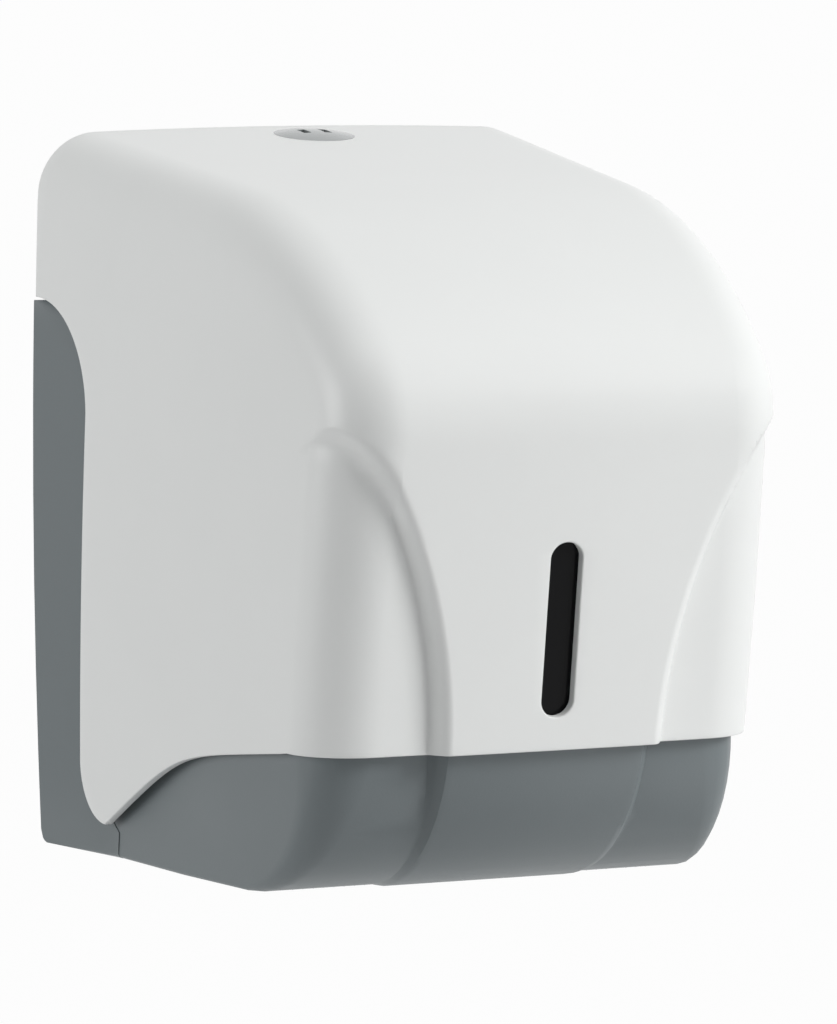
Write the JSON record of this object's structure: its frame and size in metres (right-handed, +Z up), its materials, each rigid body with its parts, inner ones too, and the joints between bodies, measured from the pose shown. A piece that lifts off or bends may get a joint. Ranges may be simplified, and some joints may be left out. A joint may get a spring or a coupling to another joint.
{
  "type": "toilet paper dispenser",
  "caption": "Wall-mounted toilet paper dispenser: white cover with a raised front panel and sight slot, hinged on a grey tray base, with a top lock and a sprung roll spindle inside.",
  "frame": {"origin": "middle of the four wall screws, in the plane of the wall", "axes": "+Y into the wall, +Z up, +X to the right as seen from the front"},
  "size_m": [0.1566, 0.1842, 0.1998],
  "materials": {
    "grey_plastic": "satin",
    "white_plastic": "gloss",
    "smoked_plastic": "gloss",
    "chrome_trim": "polished",
    "steel": "zinc plated",
    "tear_steel": "brushed",
    "dark_plastic": "matt",
    "light_plastic": "satin",
    "spindle_plastic": "satin"
  },
  "bodies": {
    "base": {"base": "grey_plastic", "hinge_pins": "steel", "latch_pin": "steel", "latch_spring": "steel", "arm_left": "light_plastic", "arm_right": "light_plastic", "arm_screws": "steel", "tear_bar": "tear_steel", "tear_screws": "steel"},
    "cover": {"cover": "white_plastic", "window": "smoked_plastic", "lock_bezel": "chrome_trim", "lock_ring": "steel"},
    "latch": {"latch": "dark_plastic"},
    "spindle": {"spindle_outer": "spindle_plastic", "spindle_spring": "steel"},
    "spindle_core": {"spindle_inner": "spindle_plastic"}
  },
  "joints": [
    {"name": "cover_hinge", "type": "hinge", "parent": "base", "child": "cover", "pos_m": [0, -0.0402, -0.0747], "axis": [1, 0, 0], "range_deg": [0, 70]},
    {"name": "latch_pivot", "type": "hinge", "parent": "base", "child": "latch", "pos_m": [0, -0.01, 0.0769], "axis": [1, 0, 0], "range_deg": [0, 12], "stiffness_Nm_per_rad": 0.08, "springref_deg": -14.32, "deforming": ["latch_spring"]},
    {"name": "spindle_spin", "type": "hinge", "parent": "base", "child": "spindle", "pos_m": [0, -0.084, 0.0041], "axis": [1, 0, 0], "continuous": true},
    {"name": "spindle_telescope", "type": "slide", "parent": "spindle", "child": "spindle_core", "axis": [-1, 0, 0], "range_m": [0, 0.007], "stiffness_N_per_m": 300, "springref_m": -0.01, "deforming": ["spindle_spring"]}
  ]
}
